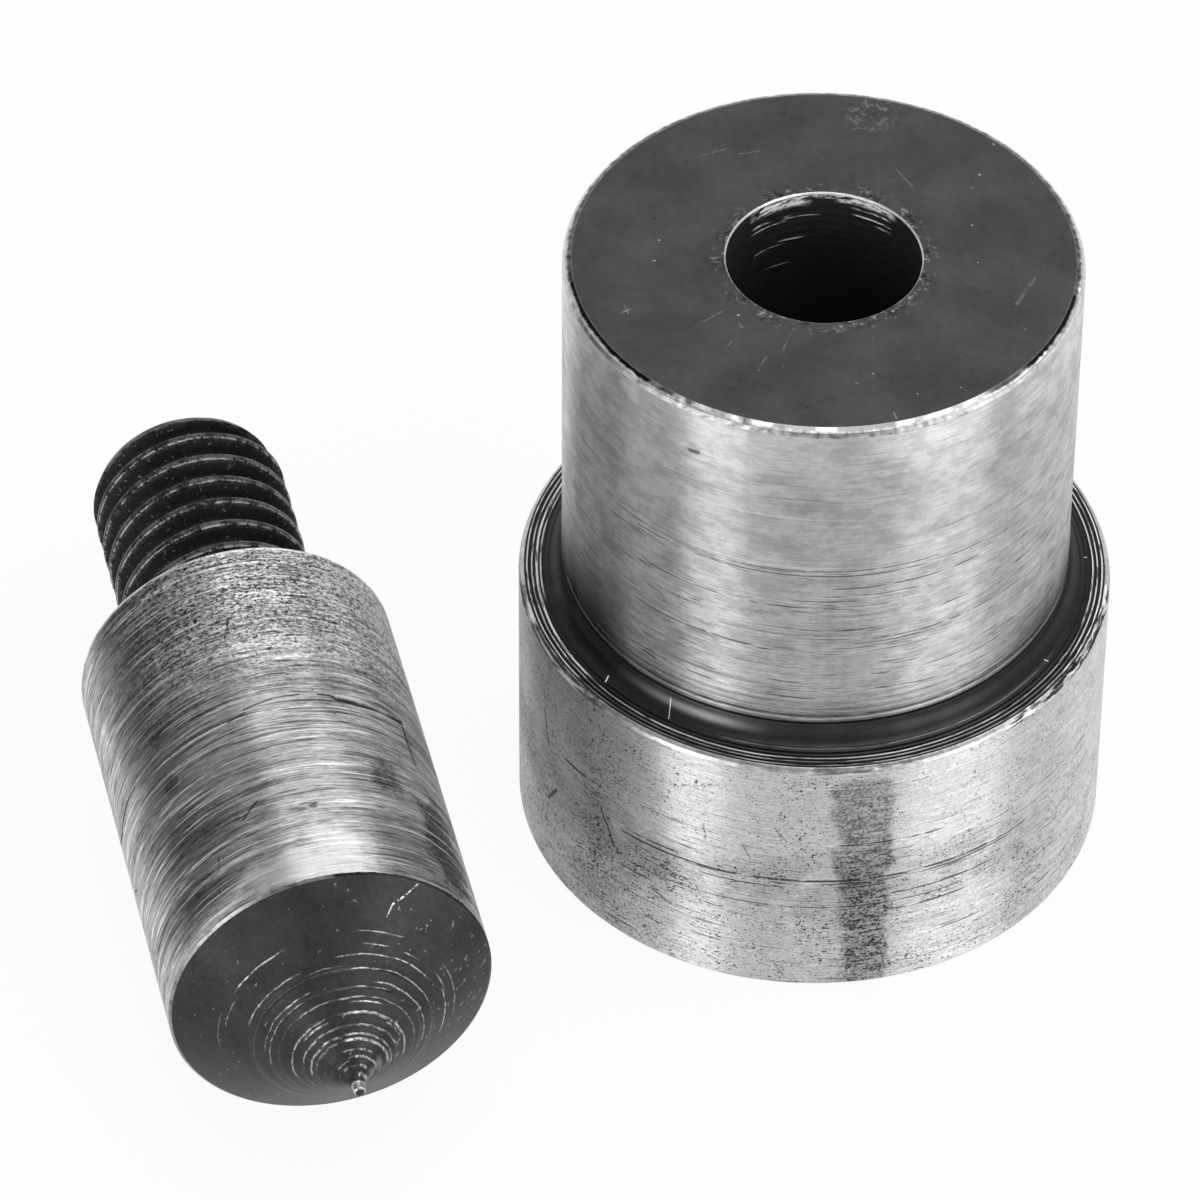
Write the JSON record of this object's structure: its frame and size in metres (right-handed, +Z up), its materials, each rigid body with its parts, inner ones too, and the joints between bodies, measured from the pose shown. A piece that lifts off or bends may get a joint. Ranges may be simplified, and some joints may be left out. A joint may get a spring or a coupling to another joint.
{
  "type": "grommet press die set",
  "caption": "Steel die set for a grommet hand press: a bored lower die standing on its collar, and a cone-nosed upper die with a threaded stud lying beside it.",
  "frame": {"origin": "centre of the lower die's underside, on the bench", "axes": "+Z up along the lower die's axis, towards its working face; -Y towards the viewer of the picture, with the upper die on the -X side"},
  "size_m": [0.0492, 0.0421, 0.0336],
  "materials": {
    "bright_steel": "bright turned and polished steel with fine tool lines round it, small dark pits and a faced top",
    "turned_steel": "coarser turned steel with tool lines, grey blotches and pitting towards the shoulder",
    "black_steel": "black oxide steel, worn bright along the thread's crests"
  },
  "bodies": {
    "lower_die": {"lower_die": "bright_steel"},
    "upper_die": {"punch_body": "turned_steel", "threaded_stud": "black_steel"}
  },
  "joints": [
    {"name": "upper_die_lift", "type": "slide", "parent": "lower_die", "child": "upper_die", "axis": [0, 0, 1], "range_m": [0, 0.06]}
  ]
}
